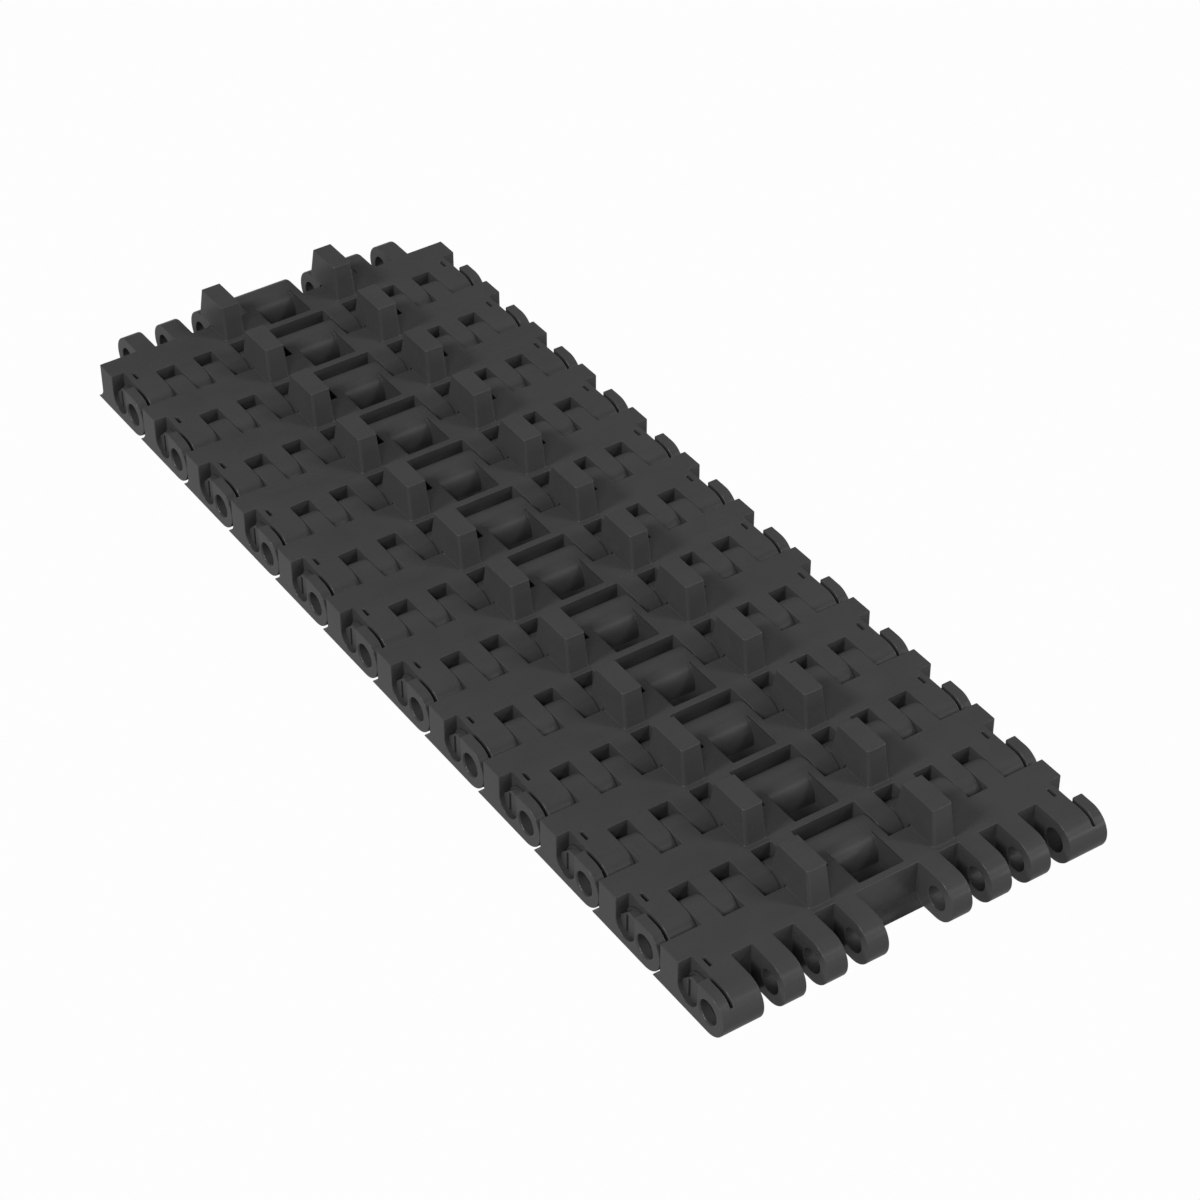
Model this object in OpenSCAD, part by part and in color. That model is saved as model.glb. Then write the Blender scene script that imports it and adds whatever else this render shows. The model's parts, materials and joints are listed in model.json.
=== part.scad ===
// Modular plastic conveyor belt with guide lugs: twelve moulded modules laid with the flat
// carrying face down, joined by eleven hinge pins. Each end of a module has a turning pin lock.
// X runs across the belt, Y along it, Z up from the carrying face to the tops of the lugs.

/* [Belt] */
// Width over the outer flanges
belt_w = 114.1; // [113.6:0.1:116]
// Thickness of a module without its lugs
belt_t = 12.5; // [12.5:0.1:13]
// Distance between neighbouring hinge pins
pitch = 25.4; // [25.4:0.1:26]
// Number of modules in the length
modules = 12; // [2:1:15]

/* [Hinge] */
// Diameter of the pin holes
hole_d = 6.4; // [6.3:0.05:6.6]
// Diameter of the hinge pins
pin_d = 6.24; // [6:0.02:6.26]
// Distance from the pin axis to the far face of the module body
axis_to_face = 6.3; // [6.3:0.1:6.7]
// Distance from the pin axis to the bottom of the pockets at the near end
near_reach = 7.4; // [7.2:0.1:7.6]
// Distance from the pin axis to the bottom of the pockets at the far end
far_reach = 7; // [6.8:0.1:7.4]
// Radius of the scooped lip under the near pockets
near_lip_r = 7; // [6.9:0.1:7.2]
// Distance from the pin axis to the middle of that scoop
near_lip_shift = 1.1; // [1:0.1:1.3]
// Play beside each far knuckle
side_play = 0.1; // [0.1:0.05:0.3]

/* [Knuckles] */
// Half width of the middle pocket
middle_half = 9.45; // [9.4:0.05:9.6]
// Half width of the middle tab
tab_half = 9.1; // [8.8:0.1:9.2]
// Width of each inner knuckle at the near end
knuckle_w = 6; // [5.8:0.1:6.2]
// Step from one knuckle to the next of its row
knuckle_step = 12; // [12:0.1:12.1]
// Chamfer at the mouths of the outer pin holes
hole_chamfer = 0.35; // [0.2:0.05:0.5]

/* [Sprocket pocket] */
// Half width of the pocket that the sprocket tooth enters
pocket_half = 6.55; // [6:0.05:7]
// Height of the pocket floor
pocket_floor = 5; // [3:0.5:6]
// Distance from the far face to the near wall of the pocket
pocket_near = 9.55; // [9.2:0.05:9.8]
// Radius of the round far wall about the far pin axis
pocket_barrel_r = 6.9; // [6.7:0.1:7]

/* [Guide lugs] */
// Height of a lug over the module
lug_h = 10.3; // [6:0.1:12]
// Inner side of a lug at its foot, from the middle of the belt
lug_in = 15.25; // [15:0.05:15.4]
// Outer side of a lug at its foot, from the middle of the belt
lug_out = 21.75; // [21.5:0.05:21.9]
// Near face of a lug at its foot, behind the far face
lug_near = 10.2; // [9.4:0.1:10.4]
// Far face of a lug at its foot, ahead of the far face
lug_far = 5.5; // [4.5:0.1:5.5]
// How much the near face of a lug leans in over its height
lug_near_lean = 1.75; // [0.5:0.05:2]
// How much the far face of a lug leans in over its height
lug_far_lean = 2.1; // [0.5:0.1:2.5]
// How much each side of a lug leans in over its height
lug_side_lean = 0.3; // [0.2:0.05:0.8]
// Height of the relief beside the foot of a lug, over the hinge
lug_relief = 0.8; // [0.7:0.1:1.2]

/* [Pin locks] */
// Depth of the side recess that holds a lock
recess_depth = 3.8; // [3.6:0.1:4]
// Radius of the round bottom of the recess
recess_r = 3.85; // [3.8:0.05:4]
// Distance of the lock axis behind the far face
lock_y = 11.05; // [10.9:0.05:11.1]
// Width of the slit that the lock plate turns in
slit_w = 0.85; // [0.8:0.05:1]
// Thickness of the lock plate
plate_t = 0.65; // [0.5:0.05:0.7]
// Radius of the lock head
head_r = 3.7; // [3.5:0.05:3.7]
// Radius of the plate end that covers the pin hole
cover_r = 4; // [3.6:0.1:4]
// Radius of the lock stem
stem_r = 1.3; // [1:0.05:1.4]

/* [Hidden] */
$fn = 64;
cut = 1;                                  // how far a cutting tool stands past the faces it opens
half_w = belt_w / 2;
axis_z = belt_t / 2;
tip_r = belt_t / 2;
far_axis = axis_to_face;
near_axis = axis_to_face - pitch;
near_wall = near_axis + near_reach;
far_wall = far_axis - far_reach;
middle_y = (far_axis + near_axis + pitch) / 2;
row_near = [for (i = [0 : 2]) middle_half + i * knuckle_step];
row_outer = middle_half + 3 * knuckle_step;
row_far = [for (x = row_near) x + knuckle_w + side_play];
far_knuckle_w = knuckle_step - knuckle_w - 2 * side_play;
lug_sunk = 1.5;                           // how far a lug starts inside the module
// pin lock and its seat
slit_in = half_w - recess_depth;
slit_out = slit_in + slit_w;
slit_near = near_axis - 4.8;              // near end of the slit
slit_floor = 1.7;                         // height of the bottom of the slit
snap_wall = 1.6;                          // wall between the recess and the snap slot
snap_slot = [0.9, 3, 4.3];                // width and length of the snap slot, height of its floor
snap_shift = 0.4;                         // how far the snap slot's middle lies ahead of the lock axis
stem_play = 0.1;
left_head_t = 1.6;                        // how far the head of a left lock stands out of the slit
right_head_t = 0.85;                      // and that of a right lock
head_flat = 3;                            // distance of the flat on the head from the lock axis
driver_slot = [1, 6.2, 0.6];              // width, length and depth of the screwdriver slot
driver_side = 0.95;                       // how far the screwdriver slot lies beside the lock axis
driver_drop = 0.6;                        // and how far its middle lies below the lock axis
plate_shoulder = 0.3;                     // the plate is this much narrower than its round end
barb = [0.3, 0.6];                        // how far the stem's barb stands out, and its length
pin_end_play = 0.2;

function two(n) = str(n < 10 ? "0" : "", n);
function module_y(n) = (modules / 2 - n) * pitch + pitch - middle_y;

// a block between two corners
module block(low, high) {
    translate(low) cube(high - low);
}

// a rod along X at height z
module rod(r, x0, x1, y, z) {
    translate([x0, y, z]) rotate([0, 90, 0]) cylinder(r = r, h = x1 - x0);
}

// the same shape on both sides of the middle of the belt
module both_sides() {
    children();
    mirror([1, 0, 0]) children();
}

// a knuckle from the body to a pin axis, ended by a half round about that axis
module knuckle(x0, x1, y_body, y_axis) {
    block([x0, min(y_body, y_axis), 0], [x1, max(y_body, y_axis), belt_t]);
    rod(tip_r, x0, x1, y_axis, axis_z);
}

// the lip that closes the carrying face under the near pockets
module near_lip() {
    scoop_y = near_axis + near_lip_shift;
    difference() {
        block([0, scoop_y + sqrt(pow(near_lip_r, 2) - pow(axis_z, 2)), 0],
              [row_outer, near_wall + cut, axis_z]);
        rod(near_lip_r, -cut, row_outer + cut, scoop_y, axis_z);
    }
}

// the lip that closes the carrying face under the far pockets
module far_lip() {
    toe = far_axis - sqrt(pow(far_reach, 2) - pow(axis_z, 2));
    difference() {
        block([0, far_wall - cut, 0], [half_w, toe, axis_z]);
        rod(far_reach, -cut, half_w + cut, far_axis, axis_z);
    }
}

// a guide lug, leaning in on all four sides
module lug() {
    low = belt_t - lug_sunk;
    high = belt_t + lug_h;
    side = lug_side_lean / lug_h * lug_sunk;
    intersection() {
        translate([lug_in - cut, 0, 0]) rotate([90, 0, 90])
            linear_extrude(lug_out - lug_in + 2 * cut)
                polygon([[-lug_near - lug_near_lean / lug_h * lug_sunk, low],
                         [lug_far + lug_far_lean / lug_h * lug_sunk, low],
                         [lug_far - lug_far_lean, high], [-lug_near + lug_near_lean, high]]);
        translate([0, lug_far + cut, 0]) rotate([90, 0, 0])
            linear_extrude(lug_near + lug_far + 2 * cut)
                polygon([[lug_in - side, low], [lug_out + side, low],
                         [lug_out - lug_side_lean, high], [lug_in + lug_side_lean, high]]);
        // beside its foot, over the hinge, the lug is no wider than its knuckle
        union() {
            block([0, -lug_near - cut, 0], [lug_out + cut, far_wall, high]);
            block([row_far[0], far_wall - cut, 0], [row_far[0] + far_knuckle_w, lug_far + cut, high]);
            block([0, far_wall - cut, belt_t + lug_relief], [lug_out + cut, lug_far + cut, high]);
        }
    }
}

// everything on the right half of a module, before the holes are made
module half_body() {
    block([0, near_wall, 0], [row_outer, far_wall, belt_t]);
    block([row_outer - cut, near_wall, 0], [half_w, 0, belt_t]);
    for (x = row_near) knuckle(x, x + knuckle_w, near_wall + cut, near_axis);
    knuckle(row_outer, half_w, near_wall + cut, near_axis);
    for (x = row_far) knuckle(x, x + far_knuckle_w, far_wall - cut, far_axis);
    knuckle(0, tab_half, far_wall - cut, far_axis);
    near_lip();
    far_lip();
    lug();
}

// the pocket that a sprocket tooth enters, with the barrel of the middle tab as its far wall
module sprocket_pocket() {
    difference() {
        block([-pocket_half, -pocket_near, pocket_floor], [pocket_half, far_axis, belt_t + cut]);
        rod(pocket_barrel_r, -half_w, half_w, far_axis, axis_z);
        block([-half_w, far_axis - sqrt(pow(pocket_barrel_r, 2) - pow(axis_z, 2)), 0],
              [half_w, far_axis + cut, belt_t + 2 * cut]);
    }
}

// the side recess, the slit beside the pin hole, the snap slot and the room for the lock's barb,
// on the right side
module lock_seat() {
    rod(recess_r, slit_in, half_w + cut, -lock_y, axis_z);
    block([slit_in, -lock_y - recess_r, axis_z], [half_w + cut, -lock_y + recess_r, belt_t + cut]);
    block([slit_in, slit_near, slit_floor], [slit_out, -lock_y, belt_t + cut]);
    rod(stem_r + stem_play, slit_in - snap_wall - snap_slot[0] / 2, slit_in + cut, -lock_y, axis_z);
    rod(stem_r + barb[0] + stem_play, slit_in - snap_wall - snap_slot[0], slit_in - snap_wall,
        -lock_y, axis_z);
    block([slit_in - snap_wall - snap_slot[0], snap_shift - lock_y - snap_slot[1] / 2, snap_slot[2]],
          [slit_in - snap_wall, snap_shift - lock_y + snap_slot[1] / 2, belt_t + cut]);
}

// the cone at the mouth of an outer pin hole
module hole_mouth() {
    translate([half_w - hole_chamfer, near_axis, axis_z]) rotate([0, 90, 0])
        cylinder(r1 = hole_d / 2, r2 = hole_d / 2 + hole_chamfer + cut, h = hole_chamfer + cut);
}

module belt_module() {
    color([0.16, 0.16, 0.17]) difference() {
        both_sides() half_body();
        sprocket_pocket();
        rod(hole_d / 2, -half_w - cut, half_w + cut, near_axis, axis_z);
        rod(hole_d / 2, -half_w - cut, half_w + cut, far_axis, axis_z);
        both_sides() lock_seat();
        both_sides() hole_mouth();
    }
}

module hinge_pin() {
    pin_half = slit_in - pin_end_play;
    color([0.2, 0.2, 0.21]) rod(pin_d / 2, -pin_half, pin_half, near_axis, axis_z);
}

// a turning lock for the right side, closed: its plate covers the end of the pin hole
module pin_lock(head_t) {
    plate_in = slit_in + (slit_w - plate_t) / 2;
    plate_out = plate_in + plate_t;
    head_out = slit_out + head_t;
    reach = near_axis + lock_y;
    plate_half = cover_r - plate_shoulder;
    stem_in = slit_in - snap_wall - stem_play - barb[1];
    color([0.15, 0.15, 0.16]) translate([0, -lock_y, axis_z]) {
        difference() {
            union() {
                rod(head_r, plate_in, head_out, 0, 0);
                rod(cover_r, plate_in, plate_out, reach, 0);
                block([plate_in, reach, -plate_half], [plate_out, 0, plate_half]);
            }
            // the flat on the head, towards the far end and up
            rotate([-45, 0, 0])
                block([plate_out, -2 * head_r, head_flat], [head_out + cut, 2 * head_r, 2 * head_r]);
            translate([head_out, driver_side, -driver_drop])
                block([-driver_slot[2], -driver_slot[0] / 2, -driver_slot[1] / 2],
                      [cut, driver_slot[0] / 2, driver_slot[1] / 2]);
        }
        rod(stem_r, stem_in, plate_in, 0, 0);
        rod(stem_r + barb[0], stem_in, stem_in + barb[1], 0, 0);
    }
}

module placed(n) {
    translate([0, module_y(n), 0]) children();
}

for (n = [1 : modules])
    placed(n) belt_module();
for (n = [1 : modules - 1])
    placed(n) hinge_pin();
for (n = [1 : modules])
    placed(n) mirror([1, 0, 0]) pin_lock(left_head_t);
for (n = [1 : modules])
    placed(n) pin_lock(right_head_t);
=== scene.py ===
"""Looks for the modular conveyor belt section: moulded edges, plastics, floor, light and camera.

Lengths are in metres, in the CAD's frame: +X across the belt, +Y along it, +Z up from the carrying face.
"""

import json
import math

import bmesh
import bpy
from mathutils import Matrix, Vector
from mathutils.kdtree import KDTree


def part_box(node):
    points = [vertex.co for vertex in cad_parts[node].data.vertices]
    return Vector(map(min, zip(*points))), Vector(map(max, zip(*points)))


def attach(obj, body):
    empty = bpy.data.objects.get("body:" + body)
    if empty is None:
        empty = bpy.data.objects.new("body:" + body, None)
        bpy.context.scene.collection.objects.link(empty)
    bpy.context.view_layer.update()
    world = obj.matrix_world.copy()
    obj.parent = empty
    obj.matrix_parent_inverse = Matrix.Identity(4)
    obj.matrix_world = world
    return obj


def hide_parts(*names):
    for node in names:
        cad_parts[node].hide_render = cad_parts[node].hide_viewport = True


MM = 0.001

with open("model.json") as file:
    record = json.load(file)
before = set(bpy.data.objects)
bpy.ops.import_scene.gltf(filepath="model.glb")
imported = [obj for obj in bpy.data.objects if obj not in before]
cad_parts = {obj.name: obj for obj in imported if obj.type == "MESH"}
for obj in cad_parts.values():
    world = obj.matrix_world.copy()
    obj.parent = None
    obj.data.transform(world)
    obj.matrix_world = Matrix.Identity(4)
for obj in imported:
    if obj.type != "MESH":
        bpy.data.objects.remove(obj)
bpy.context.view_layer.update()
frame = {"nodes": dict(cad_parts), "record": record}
nodes = frame["nodes"]
record = frame["record"]
body_of = {n: b for b, members in record["behaviour"]["bodies"].items() for n in members}
scene = bpy.context.scene


# ---------------------------------------------------------------- meshes with moulded edges

WELD = 1e-6
# faces that meet at less than FLAT are one face, and edges that turn by more than SHARP are rounded
FLAT = math.radians(0.5)
SHARP = math.radians(25)
# how far apart the points lie that remember where an edge was
EDGE_STEP = 0.5 * MM
EDGE_SEGMENTS = 2
SPECIAL_SEGMENTS = 5
# how much a large face weighs more than a small one in the shading of the corner they share
FACE_WEIGHT = 90


def clean(node):
    """The node's mesh with its triangles joined into whole faces."""
    bm = bmesh.new()
    bm.from_mesh(nodes[node].data)
    bmesh.ops.remove_doubles(bm, verts=bm.verts, dist=WELD)
    bmesh.ops.dissolve_limit(bm, angle_limit=FLAT, verts=bm.verts, edges=bm.edges, delimit=set())
    return bm


def sharp_edges(bm):
    return [e for e in bm.edges if len(e.link_faces) == 2 and e.calc_face_angle(0) > SHARP]


def round_edges(bm, edges, width, segments):
    """Rounds edges, and returns the new faces."""
    made = bmesh.ops.bevel(
        bm, geom=edges, offset=width, offset_type="OFFSET", segments=segments, profile=0.5,
        affect="EDGES", clamp_overlap=False, loop_slide=True,
        miter_outer="SHARP", miter_inner="SHARP",
    )
    return made["faces"]


def tag_layer(bm):
    """The layer that marks the vertices in the middle of a rounded edge."""
    return bm.verts.layers.float.get("tag") or bm.verts.layers.float.new("tag")


def marked_edges(bm):
    """Points along every sharp edge, with 1 where it stands out and -1 where it is hollow."""
    points = []
    for e in sharp_edges(bm):
        sign = 1.0 if e.calc_face_angle_signed(0) > 0 else -1.0
        a, b = (v.co.copy() for v in e.verts)
        count = max(2, int((b - a).length / EDGE_STEP))
        points += [(a.lerp(b, k / (count - 1)), sign) for k in range(count)]
    return points


def finished(bm, name, edge_points):
    """A mesh from bm, shaded smooth with its flat faces kept flat.

    Its attribute "ridge" is 1 on rounded edges that stand out, -1 on hollow ones and 0 elsewhere.
    """
    tree = KDTree(len(edge_points))
    for i, (point, _) in enumerate(edge_points):
        tree.insert(point, i)
    tree.balance()
    bm.verts.ensure_lookup_table()
    ridge = bm.verts.layers.float.new("ridge")
    tag = tag_layer(bm)
    for v in bm.verts:
        if v[tag] > 0.5:
            _, i, _ = tree.find(v.co)
            v[ridge] = edge_points[i][1]
    mesh = bpy.data.meshes.new(name)
    bm.to_mesh(mesh)
    bm.free()
    mesh.polygons.foreach_set("use_smooth", [True] * len(mesh.polygons))
    carrier = bpy.data.objects.new(name, mesh)
    scene.collection.objects.link(carrier)
    weigh = carrier.modifiers.new("weigh", "WEIGHTED_NORMAL")
    weigh.weight = FACE_WEIGHT
    weigh.keep_sharp = True
    depsgraph = bpy.context.evaluated_depsgraph_get()
    final = bpy.data.meshes.new_from_object(carrier.evaluated_get(depsgraph), depsgraph=depsgraph)
    bpy.data.objects.remove(carrier)
    final.name = name
    return final


def moulded(node, name, width, special=(), left_sharp=lambda e: False):
    """The node's mesh with its edges rounded by width.

    special: pairs of a test and a width, for edges with a radius of their own.
    left_sharp: a test for edges that stay as they are.
    """
    bm = clean(node)
    tag_layer(bm)
    edge_points = marked_edges(bm)
    for test, own_width in special:
        round_edges(bm, [e for e in sharp_edges(bm) if test(e)], own_width, SPECIAL_SEGMENTS)
    others = [e for e in sharp_edges(bm) if not left_sharp(e)]
    new_faces = {f for f in round_edges(bm, others, width, EDGE_SEGMENTS) if f.is_valid}
    tag = tag_layer(bm)
    for f in new_faces:
        for v in f.verts:
            if all(g in new_faces for g in v.link_faces):
                v[tag] = 1.0
    bmesh.ops.recalc_face_normals(bm, faces=bm.faces)
    return finished(bm, name, edge_points)


CLOSE = 0.02 * MM
PLATE_TOP = 12.5 * MM
# the far tips of the knuckles reach this far ahead of the module's far face
KNUCKLE_REACH = 12.55 * MM
# the lug's middle lies this far behind that face
LUG_SET_BACK = 2.4 * MM

far_face_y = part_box("belt_module_01")[1].y - KNUCKLE_REACH
lug_mid_y = far_face_y - LUG_SET_BACK


def lug_corner(e):
    """The near upright edges of the guide lugs."""
    a, b = (v.co for v in e.verts)
    low, high = min(a.z, b.z), max(a.z, b.z)
    from_the_plate = 10 * MM < low < 14 * MM
    return from_the_plate and high - low > 8 * MM and (a.y + b.y) / 2 < lug_mid_y


def pocket_rim(e):
    """The rim of the sprocket pocket on the drive side."""
    half_width = 6.6 * MM
    near_end, far_end = -9.6, 3.5
    for v in e.verts:
        y = (v.co.y - far_face_y) / MM
        if abs(v.co.z - PLATE_TOP) > CLOSE or abs(v.co.x) > half_width:
            return False
        if not near_end < y < far_end:
            return False
    return True


def inside_snap_slot(e):
    """The edges in the depth of a snap slot, where a lock's barb turns in a narrow room."""
    inner, outer = 50.6, 51.8
    xs = [abs(v.co.x) / MM for v in e.verts]
    below = min(v.co.z for v in e.verts) < PLATE_TOP - CLOSE
    return below and min(xs) > inner and max(xs) < outer


module_mesh = moulded(
    "belt_module_01", "module_mesh", 0.22 * MM,
    [(lug_corner, 0.8 * MM), (pocket_rim, 0.3 * MM)], inside_snap_slot,
)
pin_mesh = moulded("hinge_pin_01", "pin_mesh", 0.35 * MM)
lock_left_mesh = moulded("pin_lock_left_01", "lock_left_mesh", 0.09 * MM)
lock_right_mesh = moulded("pin_lock_right_01", "lock_right_mesh", 0.09 * MM)


# ---------------------------------------------------------------- nodes


def add_node(tree, kind, **values):
    """A new node, with its inputs and properties set by name."""
    node = tree.nodes.new(kind)
    for key, value in values.items():
        if key in node.inputs:
            node.inputs[key].default_value = value
        else:
            setattr(node, key, value)
    return node


def calculate(tree, operation, *values):
    """One step of arithmetic on numbers and on the outputs of other nodes."""
    node = add_node(tree, "ShaderNodeMath", operation=operation)
    for socket, value in zip(node.inputs, values):
        if isinstance(value, (int, float)):
            socket.default_value = value
        else:
            tree.links.new(value, socket)
    return node.outputs[0]


def remap(tree, value, low, high, **values):
    """value from 0..1, or from another range given by name, to low..high"""
    node = add_node(tree, "ShaderNodeMapRange", **{"To Min": low, "To Max": high}, **values)
    tree.links.new(value, node.inputs["Value"])
    return node.outputs[0]


# ---------------------------------------------------------------- plastics


def plastic(name, tone, rough, grain):
    """A dark moulded plastic: fine eroded grain, faint flow marks, convex edges lightened as rubbing
    wear and painted highlight, and hollow corners darkened as painted shade.

    tone: how light it is. rough: its roughness. grain: cells of the mould's grain in a metre.
    """
    mat = bpy.data.materials.new(name)
    mat.use_nodes = True
    tree = mat.node_tree
    shader = tree.nodes["Principled BSDF"]

    def multiply(a, b):
        return calculate(tree, "MULTIPLY", a, b)

    def level(value, low, high):
        return remap(tree, value, low, high)

    # every piece has its own stretch of the pattern
    random = add_node(tree, "ShaderNodeObjectInfo").outputs["Random"]
    spread = add_node(tree, "ShaderNodeCombineXYZ")
    for axis in range(3):
        tree.links.new(multiply(random, 3.1 + 1.7 * axis), spread.inputs[axis])
    shift = add_node(tree, "ShaderNodeVectorMath", operation="ADD")
    tree.links.new(add_node(tree, "ShaderNodeTexCoord").outputs["Object"], shift.inputs[0])
    tree.links.new(spread.outputs[0], shift.inputs[1])
    point = shift.outputs[0]

    def noise(cells, detail, roughness, stretch=None):
        """Noise of so many cells in a metre; stretch divides a cell's size along each axis."""
        texture = add_node(
            tree, "ShaderNodeTexNoise", Scale=cells, Detail=detail, Roughness=roughness
        )
        where = point
        if stretch:
            scaled = add_node(tree, "ShaderNodeVectorMath", operation="MULTIPLY")
            scaled.inputs[1].default_value = stretch
            tree.links.new(point, scaled.inputs[0])
            where = scaled.outputs[0]
        tree.links.new(where, texture.inputs["Vector"])
        return texture.outputs["Fac"]

    cloud = noise(90, 4.0, 0.55)
    flow = noise(160, 3.0, 0.5, (0.25, 1.0, 1.0))
    speck = noise(5200, 2.0, 0.6)
    fine = noise(grain, 3.0, 0.65)
    scuff_glint = noise(700, 5.0, 0.7, (1.0, 0.2, 1.0))

    ridge = add_node(tree, "ShaderNodeAttribute", attribute_name="ridge").outputs["Fac"]
    convex = calculate(tree, "MAXIMUM", ridge, 0.0)
    hollow = calculate(tree, "MAXIMUM", multiply(ridge, -1.0), 0.0)

    # colour: base tone, clouding, specks, convex edges a little lighter as rubbing wear and painted
    # highlight, hollow corners a little darker as painted shade
    shade = multiply(level(cloud, 0.90, 1.10), level(flow, 0.96, 1.04))
    shade = multiply(shade, level(speck, 0.92, 1.08))
    shade = multiply(shade, level(random, 0.975, 1.025))
    # painted highlight: convex rounded edges lightened in the colour, partly as wear from rubbing
    rubbed_edge_highlight = multiply(convex, level(scuff_glint, -0.05, 0.3))
    shade = calculate(tree, "ADD", shade, rubbed_edge_highlight)
    # painted shade: hollow rounded edges darkened in the colour by up to 12 percent
    shade = multiply(shade, calculate(tree, "SUBTRACT", 1.0, multiply(hollow, 0.12)))
    grey = multiply(shade, tone)
    colour = add_node(tree, "ShaderNodeCombineColor")
    for channel in range(3):
        tree.links.new(grey, colour.inputs[channel])
    tree.links.new(colour.outputs[0], shader.inputs["Base Color"])

    # gloss: satin, uneven with the flow of the melt, smoother where edges are rubbed
    gloss = calculate(tree, "ADD", level(flow, rough - 0.05, rough + 0.05), level(fine, -0.04, 0.04))
    gloss = calculate(tree, "SUBTRACT", gloss, multiply(rubbed_edge_highlight, 0.10))
    tree.links.new(gloss, shader.inputs["Roughness"])
    shader.inputs["IOR"].default_value = 1.48
    shader.inputs["Specular IOR Level"].default_value = 0.25

    # surface: eroded grain of the mould, and long shallow waves
    grainy = add_node(tree, "ShaderNodeBump", Strength=0.35, Distance=0.012 * MM)
    tree.links.new(fine, grainy.inputs["Height"])
    wavy = add_node(tree, "ShaderNodeBump", Strength=0.25, Distance=0.03 * MM)
    tree.links.new(flow, wavy.inputs["Height"])
    tree.links.new(wavy.outputs[0], grainy.inputs["Normal"])
    tree.links.new(grainy.outputs[0], shader.inputs["Normal"])
    return mat


materials = {
    "module": plastic("module_acetal", 0.045, 0.29, 3600),
    "pin": plastic("pin_plastic", 0.055, 0.26, 5200),
    "lock": plastic("lock_acetal", 0.045, 0.36, 4200),
}


# ---------------------------------------------------------------- pieces


def dress(mesh, first_node, kind):
    """One piece for every node of its kind, each with the first one's mesh, in its own place."""
    mesh.materials.clear()
    mesh.materials.append(materials[kind])
    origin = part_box(first_node)[0]
    stem = first_node.removesuffix("01")
    for n in sorted(k for k in nodes if k.startswith(stem)):
        piece = bpy.data.objects.new("shown_" + n, mesh)
        scene.collection.objects.link(piece)
        piece.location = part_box(n)[0] - origin
        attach(piece, body_of[n])
        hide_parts(n)
        nodes[n].data.materials.clear()
        nodes[n].data.materials.append(materials[kind])


dress(module_mesh, "belt_module_01", "module")
dress(pin_mesh, "hinge_pin_01", "pin")
dress(lock_left_mesh, "pin_lock_left_01", "lock")
dress(lock_right_mesh, "pin_lock_right_01", "lock")


# ---------------------------------------------------------------- floor

FLOOR_HALF_SIZE = 8.0
FLOOR_GLOW = 0.39
FLOOR_GAP = 0.05 * MM

light_table = bpy.data.materials.new("light_table")
light_table.use_nodes = True
tree = light_table.node_tree
tree.nodes.clear()
surface = add_node(tree, "ShaderNodeOutputMaterial").inputs["Surface"]
tree.links.new(add_node(tree, "ShaderNodeEmission", Strength=FLOOR_GLOW).outputs[0], surface)

size = FLOOR_HALF_SIZE
floor_mesh = bpy.data.meshes.new("floor")
floor_mesh.from_pydata(
    [(-size, -size, 0), (size, -size, 0), (size, size, 0), (-size, size, 0)], [], [(0, 1, 2, 3)]
)
floor_mesh.materials.append(light_table)
floor = bpy.data.objects.new("floor", floor_mesh)
floor.location.z = -FLOOR_GAP
# the floor lights the belt and is mirrored in it, but hides nothing where the belt curls down past it
floor.visible_camera = False
floor.visible_shadow = False
scene.collection.objects.link(floor)


# ---------------------------------------------------------------- light

# how bright the surroundings look, and how strongly they light the belt
WHITE = 0.983
DIM = 0.04
# how softly the strip light's edges fade, as the sine of an angle
STRIP_FADE = 0.02
SOFT_BOX_ANGLE = math.radians(14)


def direction(azimuth, elevation):
    """Towards an azimuth from +X towards +Y and an elevation, both in degrees."""
    turn, rise = math.radians(azimuth), math.radians(elevation)
    level = math.cos(rise)
    return Vector((math.cos(turn) * level, math.sin(turn) * level, math.sin(rise)))


def strip_light(tree, azimuth, elevation, half_height, half_width, strength):
    """A bright strip in the surroundings, for the highlights on the barrels and knuckles."""
    towards = direction(azimuth, elevation)
    side = direction(azimuth + 90, 0)
    where = add_node(tree, "ShaderNodeTexCoord").outputs["Generated"]

    def along(axis):
        dot = add_node(tree, "ShaderNodeVectorMath", operation="DOT_PRODUCT")
        dot.inputs[1].default_value = axis
        tree.links.new(where, dot.inputs[0])
        return dot.outputs["Value"]

    def within(value, half_angle):
        limit = math.sin(math.radians(half_angle))
        return remap(
            tree, calculate(tree, "ABSOLUTE", value), 0.0, 1.0, interpolation_type="SMOOTHSTEP",
            **{"From Min": limit + STRIP_FADE, "From Max": limit - STRIP_FADE},
        )

    ahead = calculate(tree, "GREATER_THAN", along(towards), 0.0)
    rows = within(along(towards.cross(side)), half_height)
    inside = calculate(tree, "MULTIPLY", rows, within(along(side), half_width))
    return calculate(tree, "MULTIPLY", calculate(tree, "MULTIPLY", inside, ahead), strength)


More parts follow.
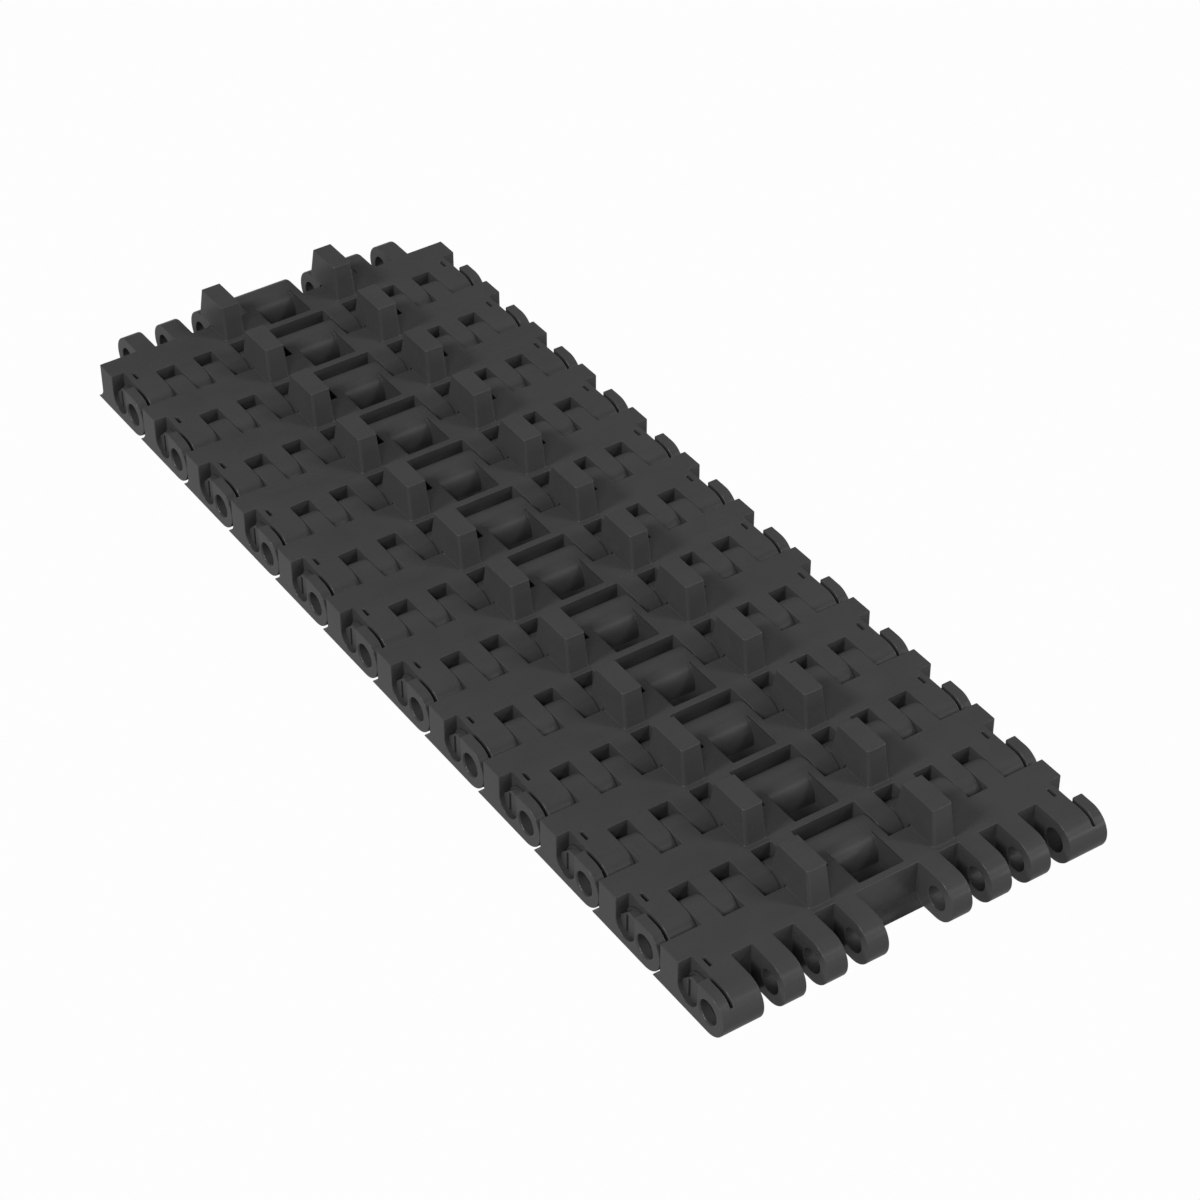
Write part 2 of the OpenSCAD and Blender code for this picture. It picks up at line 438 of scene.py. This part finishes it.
def soft_box(azimuth, elevation, strength, mirrored=True):
    """A far soft light. One that isn't mirrored lights the belt without a highlight."""
    name = f"soft_box_{azimuth}_{elevation}"
    data = bpy.data.lights.new(name, "SUN")
    data.energy = strength * math.pi
    data.angle = SOFT_BOX_ANGLE
    box = bpy.data.objects.new(name, data)
    box.rotation_mode = "QUATERNION"
    box.rotation_quaternion = direction(azimuth, elevation).to_track_quat("Z", "Y")
    box.visible_glossy = mirrored
    scene.collection.objects.link(box)


world = bpy.data.worlds.new("studio")
scene.world = world
world.use_nodes = True
sky = world.node_tree
background = sky.nodes["Background"]
background.inputs["Color"].default_value = (1, 1, 1, 1)
seen = add_node(sky, "ShaderNodeLightPath").outputs["Is Camera Ray"]
strip = strip_light(sky, azimuth=304, elevation=40, half_height=6.5, half_width=22, strength=1.5)
sky.links.new(
    calculate(sky, "ADD", remap(sky, seen, DIM, WHITE), strip), background.inputs["Strength"]
)

# the key light stands to the left; weaker ones go round, in front, low on the right and behind
soft_box(180, 40, 0.56)
soft_box(225, 40, 0.29)
soft_box(180, 14, 0.10)
soft_box(225, 14, 0.06)
soft_box(270, 14, 0.11)
soft_box(315, 14, 0.22)
soft_box(315, 40, 0.24, mirrored=False)
soft_box(0, 14, 0.16)
soft_box(0, 40, 0.06)
soft_box(45, 14, 0.10, mirrored=False)
soft_box(90, 8, 0.20, mirrored=False)
soft_box(90, 40, 0.26, mirrored=False)


# ---------------------------------------------------------------- camera

CAMERA_PLACE = (-0.373717, -0.580148, 0.561507)
CAMERA_RIGHT = (0.829418, -0.558627, -0.00146)
CAMERA_VIEW = (0.432123, 0.643244, -0.632066)

camera_data = bpy.data.cameras.new("camera")
camera_data.sensor_width = 36
camera_data.lens = 100.33
camera_data.clip_start, camera_data.clip_end = 0.05, 20
camera = bpy.data.objects.new("camera", camera_data)
scene.collection.objects.link(camera)
right = Vector(CAMERA_RIGHT).normalized()
back = -Vector(CAMERA_VIEW).normalized()
up = back.cross(right).normalized()
turned = Matrix((right, up, back)).transposed().to_4x4()
camera.matrix_world = Matrix.Translation(CAMERA_PLACE) @ turned
scene.camera = camera
scene.view_settings.view_transform = "Standard"
